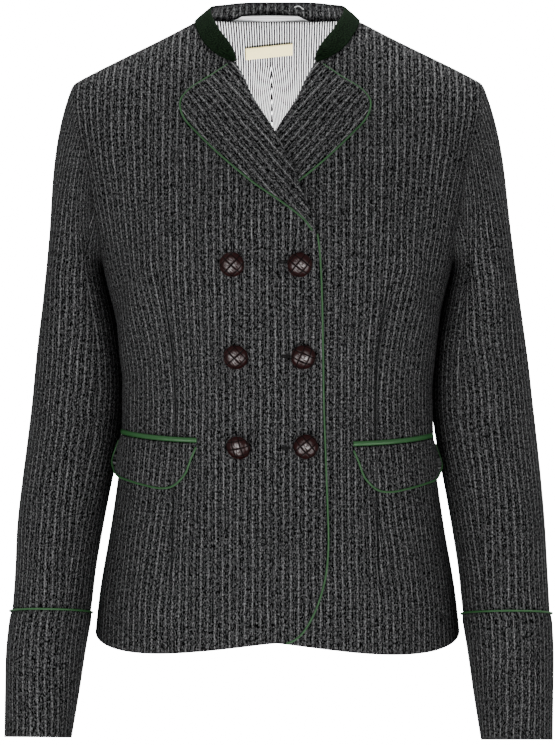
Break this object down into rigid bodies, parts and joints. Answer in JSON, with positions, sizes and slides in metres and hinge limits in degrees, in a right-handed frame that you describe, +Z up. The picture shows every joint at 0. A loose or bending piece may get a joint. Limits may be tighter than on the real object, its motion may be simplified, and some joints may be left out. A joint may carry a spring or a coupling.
{
  "type": "trachten blazer",
  "caption": "Short fitted double-breasted trachten blazer of chalk-striped wool with green stand collar and piping, worn form.",
  "frame": {"origin": "at the neck, in the middle plane, level with the shoulder line just outside the collar", "axes": "+Z up, the front faces -Y, the wearer's left is +X"},
  "size_m": [0.524, 0.2658, 0.7172],
  "materials": {
    "striped_wool": "matt brushed wool with chalk stripes",
    "green_felt": "matt felted loden",
    "green_piping": "satin woven cord",
    "striped_lining": "satin striped lining",
    "cream_label": "woven label, plain",
    "dark_leather": "polished woven leather"
  },
  "bodies": {
    "root": {"front_right": "striped_wool", "back_right": "striped_wool", "sleeve_upper_right": "striped_wool", "sleeve_under_right": "striped_wool", "cuff_right": "striped_wool", "piping_cuff_right": "green_piping", "lapel_right": "striped_wool", "piping_lapel_right": "green_piping", "welt_right": "green_piping", "flap_right": "striped_wool", "piping_flap_right": "green_piping", "button_right_1": "dark_leather", "button_right_2": "dark_leather", "button_right_3": "dark_leather", "front_left": "striped_wool", "back_left": "striped_wool", "sleeve_upper_left": "striped_wool", "sleeve_under_left": "striped_wool", "cuff_left": "striped_wool", "piping_cuff_left": "green_piping", "lapel_left": "striped_wool", "piping_lapel_left": "green_piping", "welt_left": "green_piping", "flap_left": "striped_wool", "piping_flap_left": "green_piping", "button_left_1": "dark_leather", "button_left_2": "dark_leather", "button_left_3": "dark_leather", "collar_stand": "green_felt", "collar_inner": "striped_wool", "piping_edge_right": "green_piping", "lining_back": "striped_lining", "hanger_loop": "striped_lining", "label": "cream_label"}
  },
  "joints": []
}
